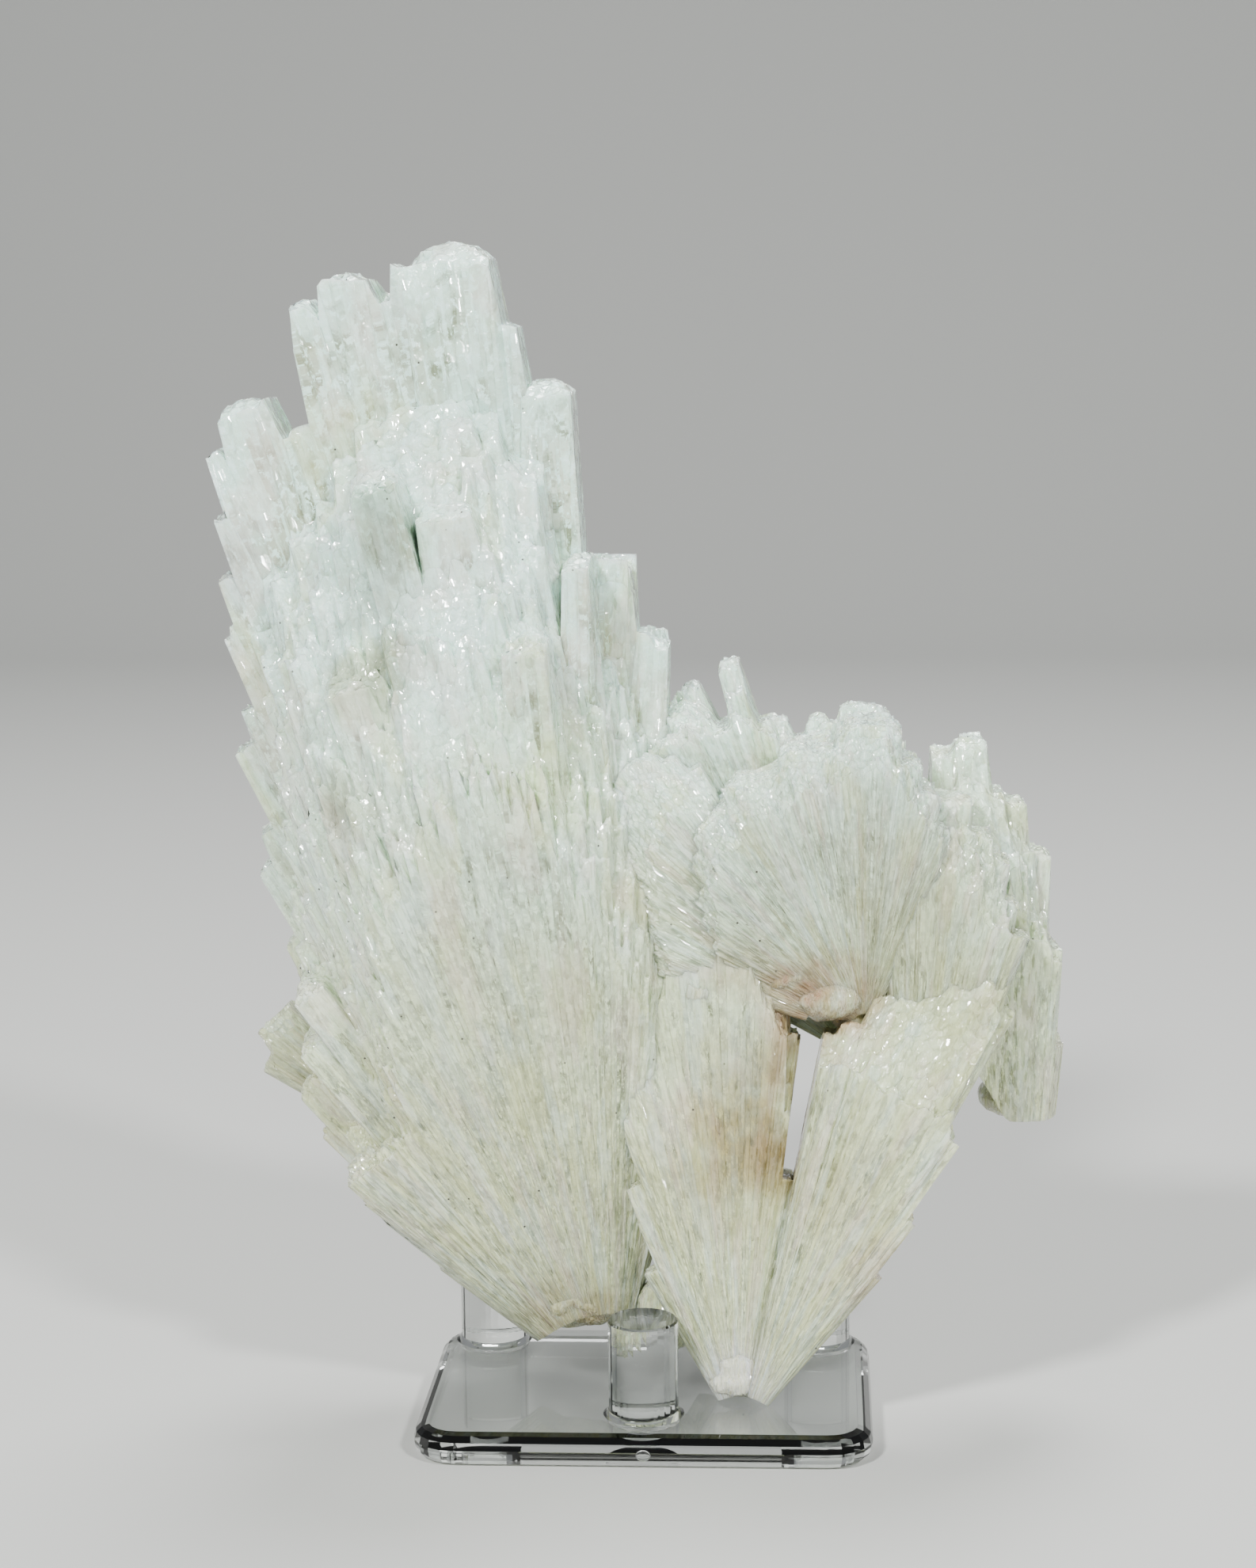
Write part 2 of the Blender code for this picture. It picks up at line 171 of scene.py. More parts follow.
# How every spray grows. Shares and jitters are parts of one, the rest millimetres and degrees.
growth = {
    "roundness": 3.5, "widthJitter": (0.5, 1.5), "overlap": 1.05, "singleDepth": 0.8,
    "reachJitter": ((0.986, 0.97), (1.008, 1.04)),  # lowest and highest, each at the rim and at the face
    "dome": 0.28, "domePower": 2.6, "serration": (0.3, 0.8), "rough": 1.6, "feather": 1.5,
    "stepChance": 0.4, "step": (0.06, 0.35), "stepPlace": (-0.2, 0.35), "faceJitter": 0.2, "rimJitter": 0.1,
    "corner": (0.02, 0.22), "cornerScale": 0.11, "endHeight": 0.35, "endJitter": 0.3, "rayScale": 80.0,
    "notch": (0.3, 2.2), "level": 0.2, "layerOverlap": 1.5, "lowAt": (0.15, 0.5, 0.85),
    "bodyMin": 1.5, "under": 0.992, "bodyShade": 0.5, "softLean": 2.4,
    "settleTurns": 4, "settleReach": 2.2, "settleShare": 0.5,
}

# The blunt, grown-over lower ends: centre and half sizes of the round masses in each
feet = {
    "main_foot": (((-11.0, 2.6, 17.2), (10.3, 5.4, 6.0)), ((-18.5, 4.6, 20.2), (6.2, 5.8, 5.6)),
                  ((-16.0, 9.7, 19.5), (6.0, 5.4, 6.0)), ((3.0, 0.0, 14.5), (4.6, 3.6, 6.0))),
    "right_foot": (((12.6, -7.8, 7.2), (4.4, 1.7, 2.2)), ((12.4, -6.0, 9.5), (4.4, 3.4, 3.0))),
    "upper_foot": (((29.5, -1.0, 57.4), (4.6, 5.0, 3.4)), ((24.6, -5.2, 60.4), (5.4, 4.2, 3.4)),
                   ((19.0, -5.4, 63.8), (5.6, 4.2, 3.0)), ((13.0, -5.4, 67.0), (5.4, 4.0, 2.8))),
    "outer_foot": (((50.2, 7.0, 43.6), (4.6, 6.0, 2.6)),),
}
footRelief = {
    "voxel": 0.45, "noise": 0.35, "height": 0.45, "finer": 2.3, "finerShare": 0.5, "rayReach": 20.0,
    "subdivisions": 3,
}


def linear(code):
    # an sRGB hex colour as linear red, green, blue, alpha
    parts = [int(code[i:i + 2], 16) / 255 for i in (1, 3, 5)]
    return (*[p / 12.92 if p <= 0.04045 else ((p + 0.055) / 1.055) ** 2.4 for p in parts], 1.0)


def addNode(tree, kind, settings=None, links=None):
    # one node: settings name its attributes or its input sockets, links name sockets to feed
    node = tree.nodes.new(kind)
    for key, value in (settings or {}).items():
        if isinstance(key, str) and hasattr(node, key):
            setattr(node, key, value)
        else:
            node.inputs[key].default_value = value
    for key, source in (links or {}).items():
        tree.links.new(source, node.inputs[key])
    return node


def mix(pair, share):
    return pair[0] + (pair[1] - pair[0]) * share


def newPiece(name, bm, material, sharpAngle=35):
    mesh = bpy.data.meshes.new(name)
    bm.to_mesh(mesh)
    bm.free()
    mesh.materials.append(material)
    mesh.shade_smooth()
    mesh.set_sharp_from_angle(angle=math.radians(sharpAngle))
    piece = bpy.data.objects.new(name, mesh)
    bpy.context.scene.collection.objects.link(piece)
    return piece


def dress(piece, node):
    # hands a finished piece to the object's one body
    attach(piece, "root")
    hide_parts(node)


def rimAt(spray, lean):
    # the reach of the tallest rim crystal at this lean, or of the nearest one
    gaps = []
    for rimLean, reach, width in spray["rim"]:
        gap = abs(lean - rimLean) - math.degrees(width / 2 / reach)
        gaps.append((max(gap, 0.0), -reach))
    return -min(gaps)[1]


def softRimAt(spray, lean):
    # the rim's reach without its steps, which the layers follow
    near = [rimAt(spray, lean + growth["softLean"] * part) for part in (-1.0, -0.5, 0.0, 0.5, 1.0)]
    return sum(near) / len(near)


def edgesOf(spray):
    # the leans of the outermost sides of the rim
    left = max(lean + math.degrees(width / 2 / reach) for lean, reach, width in spray["rim"])
    right = min(lean - math.degrees(width / 2 / reach) for lean, reach, width in spray["rim"])
    return left, right


def insideSpray(spray, lean, tilt):
    left, right = edgesOf(spray)
    across = (2 * lean - left - right) / (left - right)
    limit = spray["front"][0] if tilt < 0 else spray["back"][0]
    return abs(across) ** growth["roundness"] + abs(tilt / limit) ** growth["roundness"] < 1


def shareAt(spray, tilt):
    # the share of the rim's reach that the layer at this tilt keeps
    side, kept, power, flat, begin = spray["front"] if tilt < 0 else spray["back"]
    if abs(tilt) <= flat:
        return 1.0
    return begin - (begin - kept) * min(1.0, (abs(tilt) - flat) / (side - flat)) ** power


def envelopeAt(spray, rim, tilt):
    # the reach of the layers at this tilt, below a rim crystal of the given reach
    return min(rim, max(rim * shareAt(spray, tilt), spray["even"]))


def makeCrystal(rng, lean, reach, width, tilts, free):
    # a composite crystal: what it covers, in degrees, and how its end is stepped
    wide = math.degrees(width / 2 / reach)
    stepped = rng.random() < growth["stepChance"]
    return {
        "lean": (lean - wide, lean + wide), "tilt": tilts, "reach": reach, "width": width, "free": free,
        "serration": rng.uniform(*growth["serration"]), "facing": rng.uniform(0, 2 * math.pi),
        "step": width * rng.uniform(*growth["step"]) if stepped else 0.0,
        "stepPlace": rng.uniform(*growth["stepPlace"]), "shade": rng.random(),
    }


def addLayer(rng, spray, crystals, tilt, thick, direction):
    # crystals side by side with their faces near one tilt, none above the rim
    left, right = edgesOf(spray)
    lean = right
    side = (spray["front"] if direction < 0 else spray["back"])[0]
    out = tilt / side
    while lean < left:
        face = min(side, tilt + thick * growth["faceJitter"] * rng.uniform(-1, 1)) if tilt < side else side
        width = mix(spray["width"], out) * rng.uniform(*growth["widthJitter"])
        angle = math.degrees(width / envelopeAt(spray, rimAt(spray, lean), direction * face))
        low = min(rimAt(spray, lean + angle * part) for part in growth["lowAt"])
        inner = max(0.0, face - thick * growth["layerOverlap"])
        tilts = (-face, -inner) if direction < 0 else (inner, face)
        crystal = makeCrystal(rng, lean + angle / 2, low, width * growth["overlap"], tilts, False)
        crystal["soft"] = softRimAt(spray, lean + angle / 2)
        crystal["share"] = rng.uniform(*[mix(pair, out ** 2) for pair in growth["reachJitter"]])
        crystals.append(crystal)
        lean += angle


def addLayers(rng, spray, crystals):
    # layers before and behind the rim, thinner towards the faces
    middle = sum(reach for lean, reach, width in spray["rim"]) / len(spray["rim"])
    for (side, kept, power, flat, begin), direction in ((spray["front"], -1), (spray["back"], 1)):
        tilt = flat
        while tilt < side:
            share = shareAt(spray, direction * tilt)
            thick = math.degrees(mix(spray["layer"], tilt / side) / (middle * share))
            tilt = min(tilt + thick, side)
            addLayer(rng, spray, crystals, tilt, thick, direction)


def fillCells(spray, grid, field):
    # the body under the crystals of the layers, so that no gap between them is deep
    left, right = edgesOf(spray)
    for i in cellsBetween(grid["right"], grid["pitch"], -left, -right):
        lean = -(grid["right"] + (i + 0.5) * grid["pitch"])
        rim, soft = rimAt(spray, lean), softRimAt(spray, lean)
        for j in cellsBetween(grid["front"], grid["pitch"], -spray["front"][0], spray["back"][0]):
            tilt = grid["front"] + (j + 0.5) * grid["pitch"]
            if insideSpray(spray, lean, tilt):
                reach = min(rim, envelopeAt(spray, soft, tilt)) * growth["under"]
                reach = max(reach, spray["start"] + growth["bodyMin"])
                level = round(reach / growth["level"]) * growth["level"]
                field[(i, j)] = (level, growth["bodyShade"], 0.0)


def crystalsOf(rng, spray):
    crystals = []
    addLayers(rng, spray, crystals)
    flatFront, flatBack = spray["front"][3], spray["back"][3]
    for lean, reach, width in spray["rim"]:
        swell = 1 + growth["rimJitter"] * rng.uniform(-1, 1)
        crystals.append(makeCrystal(rng, lean, reach, width, (-flatFront * swell, flatBack * swell), True))
    rim = sorted(spray["rim"])
    for first, second in zip(rim, rim[1:]):
        # the side that two rim crystals have in common, up to a notch between their tops
        reach = min(first[1], second[1]) - rng.uniform(*spray.get("notch", growth["notch"]))
        width = math.radians(second[0] - first[0]) * reach
        lean = (first[0] + second[0]) / 2
        crystals.append(makeCrystal(rng, lean, reach, width, (-flatFront, flatBack), True))
    for lean, tilt, reach, width in spray["single"]:
        deep = math.degrees(width * growth["singleDepth"] / 2 / reach)
        crystals.append(makeCrystal(rng, lean, reach, width, (tilt - deep, 0.0), True))
    return crystals


def cellsBetween(first, pitch, low, high):
    # the cells of a row whose middles lie between low and high
    return range(math.ceil((low - first) / pitch - 0.5), math.floor((high - first) / pitch - 0.5) + 1)


def coverCells(rng, spray, grid, field, crystal):
    # a crystal's needles: full reach in the middle of its end, less towards its edges and steps
    (leanLow, leanHigh), (tiltLow, tiltHigh) = crystal["lean"], crystal["tilt"]
    for i in cellsBetween(grid["right"], grid["pitch"], -leanHigh, -leanLow):
        lean = -(grid["right"] + (i + 0.5) * grid["pitch"])
        x = (lean - leanLow) / (leanHigh - leanLow) - 0.5
        for j in cellsBetween(grid["front"], grid["pitch"], tiltLow, tiltHigh):
            tilt = grid["front"] + (j + 0.5) * grid["pitch"]
            if not (crystal["free"] or insideSpray(spray, lean, tilt)):
                continue
            if crystal["free"]:
                y = (tilt - tiltLow) / (tiltHigh - tiltLow) - 0.5
                edge = min(1.0, max(abs(x), abs(y)) * 2)
                drop = growth["dome"] * crystal["width"] * edge ** growth["domePower"]
                drop += rng.uniform(0, crystal["serration"]) * growth["rough"]
                if x * math.cos(crystal["facing"]) + y * math.sin(crystal["facing"]) > crystal["stepPlace"]:
                    drop += crystal["step"]
                reach = crystal["reach"] - drop
            else:
                reach = envelopeAt(spray, crystal["soft"], tilt) * crystal["share"]
                reach -= crystal["serration"] * growth["feather"] * rng.random()
                reach = min(reach, crystal["reach"])
            reach = max(reach, spray["start"] + growth["bodyMin"])
            reach = round(reach / growth["level"]) * growth["level"]
            if (i, j) not in field or field[(i, j)][0] < reach:
                field[(i, j)] = (reach, crystal["shade"], abs(x) * 2)


def cornerRays(rng, spray, grid, field):
    # the rays on which the needles' edges lie, less regular where the faces are rough
    rays = {}
    low, high = growth["corner"]
    for i, j in sorted({(i + a, j + b) for i, j in field for a in (0, 1) for b in (0, 1)}):
        place = Vector((i * growth["cornerScale"], j * growth["cornerScale"], spray["seed"]))
        rough = grid["pitch"] * mix((low, high), min(1.0, max(0.0, 0.5 + noise.noise(place))))
        lean = -(grid["right"] + i * grid["pitch"]) + rng.uniform(-rough, rough)
        tilt = grid["front"] + j * grid["pitch"] + rng.uniform(-rough, rough)
        rays[(i, j)] = (lean, tilt)
    return rays


def rayDirection(spray, lean, tilt):
    sideways, back = math.radians(lean), math.radians(spray["tilt"] + tilt)
    forward = math.cos(back)
    return Vector((-forward * math.sin(sideways), math.sin(back), forward * math.cos(sideways)))


def addNeedles(bm, rng, spray, grid, field):
    # one skin: an end for each needle, and walls along the rays where a neighbour reaches less far
    layers = {
        "ray": bm.verts.layers.float_vector.new("ray"), "below": bm.loops.layers.float.new("below"),
        "shade": bm.faces.layers.float_vector.new("shade"),
    }
    rays = cornerRays(rng, spray, grid, field)
    directions = {corner: rayDirection(spray, *ray) for corner, ray in rays.items()}
    root = Vector(spray["root"])
    liftFrom, lift = spray.get("lift", (0.0, 0.0))
    levels = {
        corner: {spray["start"] + max(0.0, lean - liftFrom) * lift} for corner, (lean, tilt) in rays.items()
    }
    for (i, j), (reach, shade, edge) in field.items():
        for corner in ((i, j), (i + 1, j), (i + 1, j + 1), (i, j + 1)):
            levels[corner].add(reach)
    levels = {corner: sorted(radii) for corner, radii in levels.items()}
    verts = {}

    def vertAt(corner, radius):
        if (corner, radius) not in verts:
            vert = bm.verts.new((root + directions[corner] * radius) * mm)
            lean, tilt = rays[corner]
            scale = growth["rayScale"]
            vert[layers["ray"]] = (math.radians(lean) * scale, math.radians(tilt) * scale, radius)
            verts[(corner, radius)] = vert
        return verts[(corner, radius)]

    ends = []
    for (i, j), (reach, shade, edge) in field.items():
        corners = ((i, j), (i + 1, j), (i + 1, j + 1), (i, j + 1))
        beside = ((i, j - 1), (i + 1, j), (i, j + 1), (i - 1, j))
        look = Vector((rng.random(), shade, edge))
        end = bm.faces.new([vertAt(corner, reach) for corner in corners])
        end[layers["shade"]] = look
        ends.append(end)
        for first, second, other in zip(corners, corners[1:] + corners[:1], beside):
            low = field[other][0] if other in field else 0.0
            if low >= reach:
                continue
            ring = [vertAt(second, r) for r in levels[second] if low <= r <= reach]
            ring += [vertAt(first, r) for r in reversed(levels[first]) if low <= r <= reach]
            wall = bm.faces.new(ring)
            wall[layers["shade"]] = look
            for loop in wall.loops:
                loop[layers["below"]] = reach - loop.vert[layers["ray"]].z
    points = bmesh.ops.poke(bm, faces=ends)["verts"]
    for vert in points:
        near = [edge.other_vert(vert) for edge in vert.link_edges]
        outward = (vert.co - root * mm).normalized()
        size = max((a.co - b.co).length for a in near for b in near) / math.sqrt(2)
        shift = Vector([rng.uniform(-1, 1) * growth["endJitter"] * size for axis in range(3)])
        vert.co += shift - outward * shift.dot(outward) + outward * growth["endHeight"] * size
        ray = sum((other[layers["ray"]] for other in near), Vector()) / len(near)
        vert[layers["ray"]] = ray
    bmesh.ops.holes_fill(bm, edges=[edge for edge in bm.edges if edge.is_boundary])


def settle(bm):
    # ends that stand like stairs sink into one slope, as crystals that grew into each other do
    for turn in range(growth["settleTurns"]):
        moved = []
        for vert in bm.verts:
            near = [line.other_vert(vert).co for line in vert.link_edges
                    if line.calc_length() < growth["settleReach"] * mm]
            if near:
                moved.append((vert, vert.co.lerp(sum(near, Vector()) / len(near), growth["settleShare"])))
        for vert, place in moved:
            vert.co = place


def growSpray(name, spray, material):
    rng = random.Random(spray["seed"])
    left, right = edgesOf(spray)
    pitch = spray["pitch"] * 1.0
    grid = {"right": -left - pitch, "front": -spray["front"][0] - pitch, "pitch": pitch}
    field = {}
    fillCells(spray, grid, field)
    for crystal in crystalsOf(rng, spray):
        coverCells(rng, spray, grid, field, crystal)
    bm = bmesh.new()
    addNeedles(bm, rng, spray, grid, field)
    settle(bm)
    piece = newPiece(name, bm, material)
    dress(piece, "scolecite")
    print(name, len(field), "needles")


def addFoot(name, masses, material):
    # the round masses of a foot, made one skin and roughened
    bm = bmesh.new()
    for center, halfSizes in masses:
        place = Matrix.Scale(mm, 4) @ Matrix.Translation(center) @ Matrix.Diagonal((*halfSizes, 1.0))
        bmesh.ops.create_icosphere(
            bm, subdivisions=footRelief["subdivisions"], radius=1.0, matrix=place,
        )
    piece = newPiece(name, bm, material)
    remesh = piece.modifiers.new("fuse", "REMESH")
    remesh.mode = "VOXEL"
    remesh.voxel_size = footRelief["voxel"] * mm
    depsgraph = bpy.context.evaluated_depsgraph_get()
    fused = bpy.data.meshes.new_from_object(piece.evaluated_get(depsgraph))
    piece.modifiers.clear()
    piece.data = fused
    moved = []
    for vert in fused.vertices:
        place = vert.co / mm * footRelief["noise"]
        height = noise.noise(place)
        height += footRelief["finerShare"] * noise.noise(place * footRelief["finer"])
        moved.append(vert.co + vert.normal * height * footRelief["height"] * mm)
    for vert, place in zip(fused.vertices, moved):
        vert.co = place
    root = Vector(masses[0][0])
    scale = growth["rayScale"]
    reach = footRelief["rayReach"]
    rays = []
    for vert in fused.vertices:
        local = vert.co / mm - root
        rays.extend((local.x / reach * scale, local.y / reach * scale, local.z))
    fused.attributes.new("ray", "FLOAT_VECTOR", "POINT").data.foreach_set("vector", rays)
    fused.shade_smooth()
    dress(piece, "scolecite")
    print(name, len(fused.vertices), "points")


scoleciteLook = {
    "lowBody": "#bbc58f", "highBody": "#b4d8ca", "lowWhite": "#e6eec4", "highWhite": "#defdf1",
    "patch": "#cbd2b6", "composite": "#d6e2d8", "needle": "#a2aa90", "dull": "#7d8768", "grey": "#a7ad92",
    "speck": "#3a352a", "plain": "#d0d6ba",
    "zones": ((0.17, "#cbd097", 0.4), (0.21, "#e2d8d0", 0.35), (0.26, "#d6ebe7", 0.35)),
    "facetBump": (0.9, 0.0008), "blockBump": (0.7, 0.0003), "fineBump": (0.6, 0.00022),
    "grainBump": (0.6, 0.0003), "roughness": (0.06, 0.4),
    "surface": {
        "IOR": 1.51, "Subsurface Weight": 0.75, "Subsurface Scale": 0.0015,
        "Coat Weight": 1.0, "Coat Roughness": 0.07, "Coat IOR": 1.51,
        "Subsurface Radius": (1.0, 0.95, 0.8),
    },
}

# Places on the cluster with a colour of their own, and a few that paint shade into it: centre, radius,
# colour, strength
scoleciteTintsAndShade = (
    ((28.0, -16.0, 76.0), 20.0, "#c3c4aa", 0.6), ((38.0, -6.0, 66.0), 32.0, "#b6b88e", 0.8),
    ((30.0, -8.0, 28.0), 28.0, "#c3c5a4", 0.6), ((-10.0, -14.0, 50.0), 40.0, "#bcc09a", 0.7),
    # the two on the line below are painted shade, in the recess at the capped crystal
    ((-33.2, -17.0, 119.0), 8.5, "#a3a68c", 0.9), ((-34.6, -18.0, 107.0), 9.0, "#7f8061", 1.0),
    ((-33.5, -18.5, 129.5), 6.5, "#abb798", 1.0), ((-31.0, -17.0, 124.0), 7.0, "#b0b698", 0.8),
    ((-39.0, -18.0, 88.0), 7.0, "#9a9977", 0.8), ((-13.0, -20.0, 108.0), 6.0, "#c9c8a2", 0.7),
    ((-54.5, 2.0, 119.0), 9.0, "#a3a396", 0.8), ((19.5, -6.0, 52.0), 7.0, "#9c8763", 0.9),
    ((18.4, -6.0, 40.0), 7.0, "#a38f6e", 0.8), ((-12.0, -18.0, 94.0), 13.0, "#d3d59c", 0.7),
    ((-32.0, -16.0, 86.0), 9.0, "#b3b093", 0.6), ((-10.0, -4.0, 13.0), 10.0, "#a5926a", 0.9),
    ((15.0, -8.0, 42.0), 18.0, "#a3976c", 0.95), ((34.0, -6.0, 24.0), 10.0, "#d0a288", 0.7),
    ((50.0, 6.0, 41.0), 9.0, "#a39a6c", 0.9), ((0.0, -4.0, 72.0), 14.0, "#c9bd93", 0.6),
    # from (13, -8, 66) to (25, -8, 59.5): the stone's tan with painted shade and warm glow under the fan's
    # overhang
    ((-45.0, 6.0, 48.0), 14.0, "#a9a680", 0.9), ((13.0, -8.0, 66.0), 6.5, "#b59f78", 0.9),
    ((19.0, -8.0, 62.5), 7.0, "#b8936e", 1.0), ((25.0, -8.0, 59.5), 9.5, "#a8754c", 1.0),
    ((12.5, -6.0, 8.0), 9.0, "#f3f3ee", 0.8), ((3.0, -13.0, 45.0), 8.0, "#f6f7ee", 0.9),
)


def scoleciteMaterial():
    # Scolecite, a zeolite that grew as fine needles side by side: glassy to silky, translucent white
    material = bpy.data.materials.new("grown scolecite")
    material.use_nodes = True
    tree = material.node_tree
    shader = tree.nodes["Principled BSDF"]
    coords = addNode(tree, "ShaderNodeTexCoord").outputs["Object"]
    ray = addNode(tree, "ShaderNodeAttribute", {"attribute_name": "ray"}).outputs["Vector"]
    below = addNode(tree, "ShaderNodeAttribute", {"attribute_name": "below"}).outputs["Fac"]
    shade = addNode(tree, "ShaderNodeAttribute", {"attribute_name": "shade"}).outputs["Vector"]
    shades = addNode(tree, "ShaderNodeSeparateXYZ", None, {"Vector": shade}).outputs

    def stretched(across, along):
        # the needles' own directions, drawn out along the needles
        return addNode(
            tree, "ShaderNodeVectorMath", {"operation": "MULTIPLY", 1: (across, across, along)}, {0: ray},
        ).outputs["Vector"]

    def noiseOf(vector, scale, detail, rough):
        return addNode(
            tree, "ShaderNodeTexNoise", {"Scale": scale, "Detail": detail, "Roughness": rough},
            {"Vector": vector},
        ).outputs["Fac"]

    def ranged(value, low, high, toLow=0.0, toHigh=1.0):
        return addNode(
            tree, "ShaderNodeMapRange",
            {"From Min": low, "From Max": high, "To Min": toLow, "To Max": toHigh}, {"Value": value},
        ).outputs["Result"]

    def mixed(share, first, second):
        settings, links = {"data_type": "RGBA"}, {0: share}
        for key, value in ((6, first), (7, second)):
            if isinstance(value, str):
                settings[key] = linear(value)
            else:
                links[key] = value
        return addNode(tree, "ShaderNodeMix", settings, links).outputs[2]

    def times(first, second):
        return addNode(tree, "ShaderNodeMath", {"operation": "MULTIPLY"}, {0: first, 1: second}).outputs[0]

    def partsOf(color):
        return addNode(tree, "ShaderNodeSeparateColor", None, {"Color": color}).outputs

    def cellsOf(vector, randomness):
        return addNode(
            tree, "ShaderNodeTexVoronoi", {"Scale": 1.0, "Randomness": randomness}, {"Vector": vector},
        ).outputs

    def bumped(height, look, under=None):
        strength, distance = scoleciteLook[look]
        links = {"Height": height}
        if under is not None:
            links["Normal"] = under
        return addNode(
            tree, "ShaderNodeBump", {"Strength": strength, "Distance": distance}, links,
        ).outputs["Normal"]

    fine = noiseOf(stretched(1.0, 0.07), 1.5, 6.0, 0.62)
    patch = noiseOf(coords, 60.0, 4.0, 0.6)
    grain = noiseOf(coords, 1100.0, 2.0, 0.6)
    shorter = stretched(1.0, 0.36)
    fleck = noiseOf(shorter, 2.1, 5.0, 0.72)
    dull = noiseOf(shorter, 0.9, 5.0, 0.68)
    height = addNode(tree, "ShaderNodeSeparateXYZ", None, {"Vector": coords}).outputs["Z"]
    look = scoleciteLook
    body = mixed(ranged(height, 0.030, 0.115), look["lowBody"], look["highBody"])
    white = mixed(ranged(height, 0.040, 0.110), look["lowWhite"], look["highWhite"])
    patched = mixed(ranged(patch, 0.40, 0.64, 0.0, 0.8), body, look["patch"])
    composite = mixed(ranged(shades[1], 0.0, 1.0, 0.0, 0.4), patched, look["composite"])
    needled = mixed(ranged(shades[0], 0.5, 1.0, 0.0, 0.3), composite, look["needle"])
    dulled = mixed(ranged(dull, 0.50, 0.38, 0.0, 0.9), needled, look["dull"])
    block = partsOf(cellsOf(stretched(0.5, 0.085), 0.9)["Color"])
    greyed = mixed(ranged(block[0], 0.45, 1.0, 0.0, 0.5), dulled, look["grey"])
    bright = mixed(ranged(block[1], 0.35, 1.0, 0.0, 0.6), greyed, white)
    # painted highlight along each crystal's sides, for the bright rims that its thin edges show in the
    # light
    paintedEdgeLight = mixed(ranged(shades[2], 0.75, 1.0, 0.0, 0.35), bright, white)
    streaked = mixed(ranged(fine, 0.52, 0.64, 0.0, 0.7), paintedEdgeLight, white)
    flecked = mixed(ranged(fleck, 0.53, 0.58, 0.0, 0.9), streaked, white)
    # the frosted needle ends' own white, fading over 6 mm down their sides: painted shade in the gaps
    # between needles
    color = mixed(ranged(below, 6.0, 0.0, 0.0, 0.6), flecked, white)  # whiter towards the tips
    wide = stretched(1.0, 0.3)
    for scale, code, amount in look["zones"]:
        color = mixed(ranged(noiseOf(wide, scale, 3.0, 0.55), 0.52, 0.62, 0.0, amount), color, code)
    for center, radius, code, amount in scoleciteTintsAndShade:
        away = addNode(
            tree, "ShaderNodeVectorMath",
            {"operation": "DISTANCE", 1: [value * mm for value in center]}, {0: coords},
        ).outputs["Value"]
        near = ranged(away, radius * mm, radius * mm * 0.25, 0.0, amount)
        # tints and painted shade multiply, so that the streaks below them stay
        filtered = [part / plain for part, plain in zip(linear(code), linear(look["plain"]))]
        color = addNode(
            tree, "ShaderNodeMix",
            {"data_type": "RGBA", "blend_type": "MULTIPLY", "clamp_result": True, 7: (*filtered[:3], 1.0)},
            {0: times(near, ranged(patch, 0.35, 0.55)), 6: color},
        ).outputs[2]
    cells = addNode(
        tree, "ShaderNodeTexVoronoi", {"Scale": 430.0, "Randomness": 1.0}, {"Vector": coords},
    ).outputs
    chosen = partsOf(cells["Color"])[0]
    speck = times(ranged(cells["Distance"], 0.085, 0.045), ranged(chosen, 0.50, 0.52))
    speck = times(speck, ranged(noiseOf(coords, 45.0, 2.0, 0.5), 0.46, 0.52))
    specked = mixed(speck, color, look["speck"])
    scaled = stretched(2.0, 0.7)
    facets = cellsOf(scaled, 1.0)
    offset = addNode(
        tree, "ShaderNodeVectorMath", {"operation": "SUBTRACT"}, {0: scaled, 1: facets["Position"]},
    ).outputs["Vector"]
    lean = addNode(
        tree, "ShaderNodeVectorMath", {"operation": "SUBTRACT", 1: (0.5, 0.5, 0.5)}, {0: facets["Color"]},
    ).outputs["Vector"]
    facetHeight = addNode(
        tree, "ShaderNodeVectorMath", {"operation": "DOT_PRODUCT"}, {0: offset, 1: lean},
    ).outputs["Value"]
    bumpFacet = bumped(facetHeight, "facetBump")
    bumpFine = bumped(fine, "fineBump", bumped(block[2], "blockBump", bumpFacet))
    bump = bumped(grain, "grainBump", bumpFine)
    rough = ranged(partsOf(facets["Color"])[2], 0.2, 1.0, *look["roughness"])
    for socket, value in look["surface"].items():
        shader.inputs[socket].default_value = value
    tree.links.new(specked, shader.inputs["Base Color"])
    tree.links.new(bump, shader.inputs["Normal"])
    tree.links.new(bumpFacet, shader.inputs["Coat Normal"])
    tree.links.new(rough, shader.inputs["Roughness"])
    return material


def acrylicMaterial():
    # Clear acrylic, moulded and polished: see-through, with bright edges where it bends the light
    material = bpy.data.materials.new("clear acrylic")
    material.use_nodes = True
    shader = material.node_tree.nodes["Principled BSDF"]
    for socket, value in {
        "Base Color": linear("#fbfdfc"), "Roughness": 0.02, "IOR": 1.49, "Transmission Weight": 1.0,
    }.items():
        shader.inputs[socket].default_value = value
    return material


# Small parts of the stand in the scene alone, in millimetres
standDetails = {
    "pegRadius": 4.75, "gap": 0.02, "plateTop": 4.4, "bead": 0.7, "beadKnee": (0.45, 0.4), "steps": 64,
    "gate": (0.4, -22.25, 2.1), "gateSize": (1.0, 0.2, 0.8), "gateSharp": 80, "subdivisions": 3,
    "pegs": {"front": (0.0, -12.5), "back_left": (-23.3, 17.1), "back_right": (23.3, 17.1)},
}


